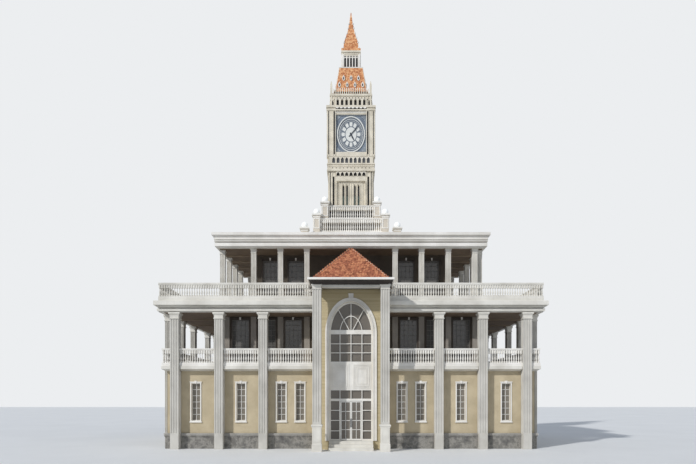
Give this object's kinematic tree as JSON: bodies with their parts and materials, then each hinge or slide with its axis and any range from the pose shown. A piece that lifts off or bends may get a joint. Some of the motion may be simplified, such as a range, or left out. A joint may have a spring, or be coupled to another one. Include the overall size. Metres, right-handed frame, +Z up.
{
  "type": "library building",
  "caption": "Three-storey library with column verandas, balustraded terrace, arched glass entrance bay under a tiled porch roof, and a square clock tower with a tiled spire.",
  "frame": {"origin": "on the ground, on the centre line, in the plane of the front column faces", "axes": "+X to the right along the front, +Y into the building, +Z up"},
  "size_m": [22.1, 15.83, 29.1],
  "materials": {
    "white_trim": "smooth painted render on masonry and mouldings",
    "stone": "dressed grey stone with veins",
    "stucco": "tan stucco",
    "siding": "yellow painted horizontal siding",
    "pilaster_paint": "smooth painted render",
    "glass": "dark tinted window glass",
    "clay_tiles": "unglazed orange clay tiles",
    "tower_stone": "cream carved stone",
    "dial_face": "pale dial with dark markings",
    "hand_metal": "dark blue-grey paint",
    "door_paint": "white paint",
    "concrete": "plain floor",
    "hinge_metal": "white painted metal"
  },
  "bodies": {
    "building": {"arch_trim": "white_trim", "belfry": "tower_stone", "clock_dials": "dial_face", "clock_spindle": "hand_metal", "clock_stage": "tower_stone", "door_head_and_hinges": "hinge_metal", "entrance_arch_wall": "siding", "entrance_glass": "glass", "entrance_piers": "siding", "entrance_side_walls": "siding", "entrance_steps": "white_trim", "entrance_window_frame": "white_trim", "gallery_balustrades": "white_trim", "giant_columns": "white_trim", "ground_floor": "concrete", "ground_walls": "stucco", "lantern": "tower_stone", "main_roof": "white_trim", "podium_balustrades": "white_trim", "podium_piers": "white_trim", "portico_beams": "white_trim", "portico_eaves": "white_trim", "portico_pillars": "white_trim", "portico_roof": "clay_tiles", "roof_podium": "white_trim", "second_floor_deck": "white_trim", "second_floor_pilasters": "pilaster_paint", "second_floor_walls": "stucco", "side_columns": "white_trim", "sidelights": "white_trim", "spandrel_panel": "white_trim", "spire": "clay_tiles", "stone_base": "stone", "terrace_entablature": "white_trim", "terrace_parapet": "white_trim", "third_floor_columns": "white_trim", "third_floor_walls": "stucco", "tower_arcade": "tower_stone", "tower_glass": "glass", "tower_shaft": "tower_stone", "tower_tile_roof": "clay_tiles", "unseen_clock_hands": "hand_metal", "window_glass": "glass", "window_trims": "white_trim"},
    "minute_hand": {"minute_hand": "hand_metal"},
    "hour_hand": {"hour_hand": "hand_metal"},
    "left_door": {"left_door_leaf": "door_paint", "left_door_glass": "glass"},
    "right_door": {"right_door_leaf": "door_paint", "right_door_glass": "glass"}
  },
  "joints": [
    {"name": "minute_turn", "type": "hinge", "parent": "building", "child": "minute_hand", "pos_m": [0, 4.7, 20.13], "axis": [0, 1, 0], "continuous": true},
    {"name": "hour_turn", "type": "hinge", "parent": "building", "child": "hour_hand", "pos_m": [0, 4.7, 20.13], "axis": [0, 1, 0], "continuous": true},
    {"name": "left_door_hinge", "type": "hinge", "parent": "building", "child": "left_door", "pos_m": [-0.59, 0.04, 0.5], "axis": [0, 0, 1], "range_deg": [0, 95]},
    {"name": "right_door_hinge", "type": "hinge", "parent": "building", "child": "right_door", "pos_m": [0.59, 0.04, 0.5], "axis": [0, 0, -1], "range_deg": [0, 95]}
  ],
  "couplings": [
    {"joint": "hour_turn", "follows": "minute_turn", "ratio": 0.083333}
  ]
}
